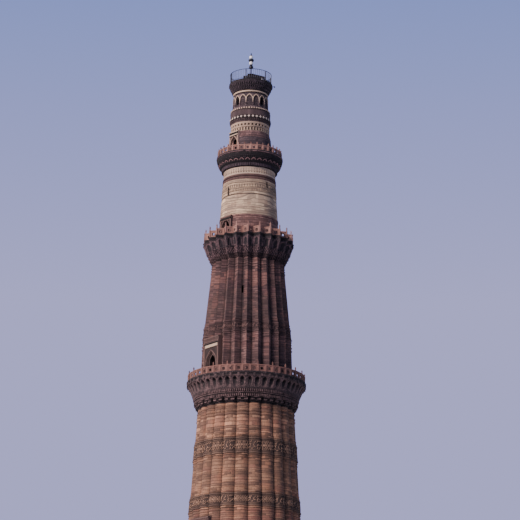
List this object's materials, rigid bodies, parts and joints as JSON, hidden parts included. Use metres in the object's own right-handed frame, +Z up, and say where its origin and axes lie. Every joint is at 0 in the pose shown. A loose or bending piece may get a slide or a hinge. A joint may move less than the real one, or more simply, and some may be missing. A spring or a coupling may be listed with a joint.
{
  "type": "fluted five-storey minaret, 1:2 scale model",
  "caption": "Tapering round masonry tower with fluted storeys, corbelled balconies with pierced parapets, doors to each, and a railed cap with a mast.",
  "frame": {"origin": "centre of the plinth's underside, on the tower's axis", "axes": "+Z up the tower's axis; the doors face -Y, the storey 3 door a little towards -X"},
  "size_m": [8.25, 8.25, 37.61],
  "materials": {
    "sandstone": "matte",
    "red_sandstone": "matte",
    "carved_band": "matte",
    "dark_stone": "matte",
    "pink_stone": "matte",
    "marble": "satin",
    "grey_stone": "matte",
    "dark_metal": "satin",
    "lamp_white": "gloss"
  },
  "bodies": {
    "root": {"plinth": "grey_stone", "storey_1_wall": "sandstone", "storey_1_band_1": "carved_band", "storey_1_band_2": "carved_band", "storey_1_band_3": "carved_band", "storey_1_band_4": "carved_band", "storey_1_band_5": "carved_band", "storey_1_band_6": "carved_band", "storey_1_portal": "sandstone", "balcony_1_corbels": "dark_stone", "balcony_1_deck": "dark_stone", "balcony_1_parapet": "pink_stone", "storey_2_wall": "sandstone", "storey_2_band_1": "carved_band", "storey_2_band_2": "carved_band", "storey_2_portal": "sandstone", "balcony_2_corbels": "dark_stone", "balcony_2_deck": "dark_stone", "balcony_2_parapet": "pink_stone", "storey_3_lower_wall": "red_sandstone", "storey_3_upper_wall": "red_sandstone", "storey_3_band_1": "carved_band", "storey_3_portal": "red_sandstone", "balcony_3_corbels": "dark_stone", "balcony_3_deck": "dark_stone", "balcony_3_parapet": "pink_stone", "storey_4_base_course": "red_sandstone", "storey_4_marble_wall": "marble", "storey_4_frieze": "red_sandstone", "storey_4_marble_crown": "marble", "storey_4_portal": "red_sandstone", "balcony_4_corbels": "dark_stone", "balcony_4_deck": "dark_stone", "balcony_4_parapet": "pink_stone", "storey_5_lower_wall": "grey_stone", "storey_5_upper_wall": "red_sandstone", "storey_5_portal": "marble", "storey_5_marble_collar": "marble", "storey_5_string_course": "carved_band", "storey_5_arcade": "grey_stone", "cap_corbels": "dark_stone", "cap_kerb": "dark_stone", "cap_railing": "dark_metal", "stair_hood": "dark_stone", "mast": "dark_metal", "mast_lamp_lower": "lamp_white", "mast_lamp_upper": "lamp_white", "flood_lamp_1": "lamp_white", "flood_lamp_2": "lamp_white", "bracket_lamp": "dark_metal"}
  },
  "joints": []
}
